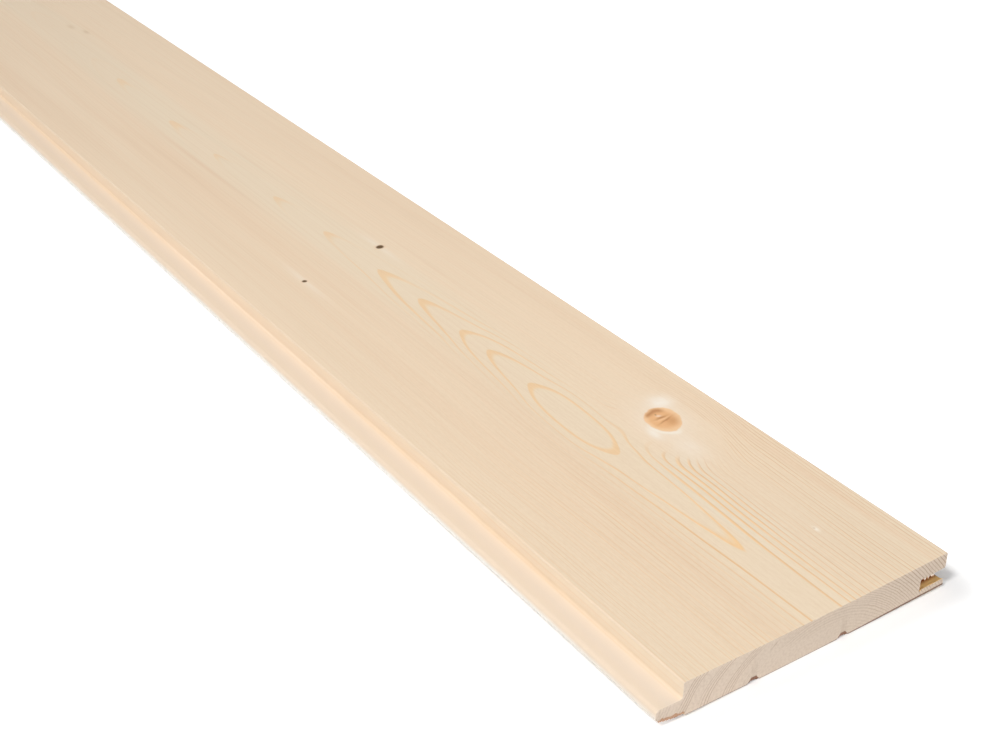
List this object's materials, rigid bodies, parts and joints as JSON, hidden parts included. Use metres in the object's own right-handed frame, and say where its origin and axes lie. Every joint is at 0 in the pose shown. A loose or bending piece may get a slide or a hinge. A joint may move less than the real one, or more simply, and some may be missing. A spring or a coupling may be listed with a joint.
{
  "type": "tongue and groove board",
  "caption": "Flat planed softwood board with a tongue along one long edge, a matching groove along the other and shallow relief grooves in its back, for lining walls and ceilings.",
  "frame": {"origin": "under the middle of the board, on the plane of its back", "axes": "+X along the board, +Y from the tongue to the groove, +Z out of the show face"},
  "size_m": [2.4, 0.12, 0.013],
  "materials": {
    "spruce": "planed, bare softwood"
  },
  "bodies": {
    "root": {"board": "spruce"}
  },
  "joints": []
}
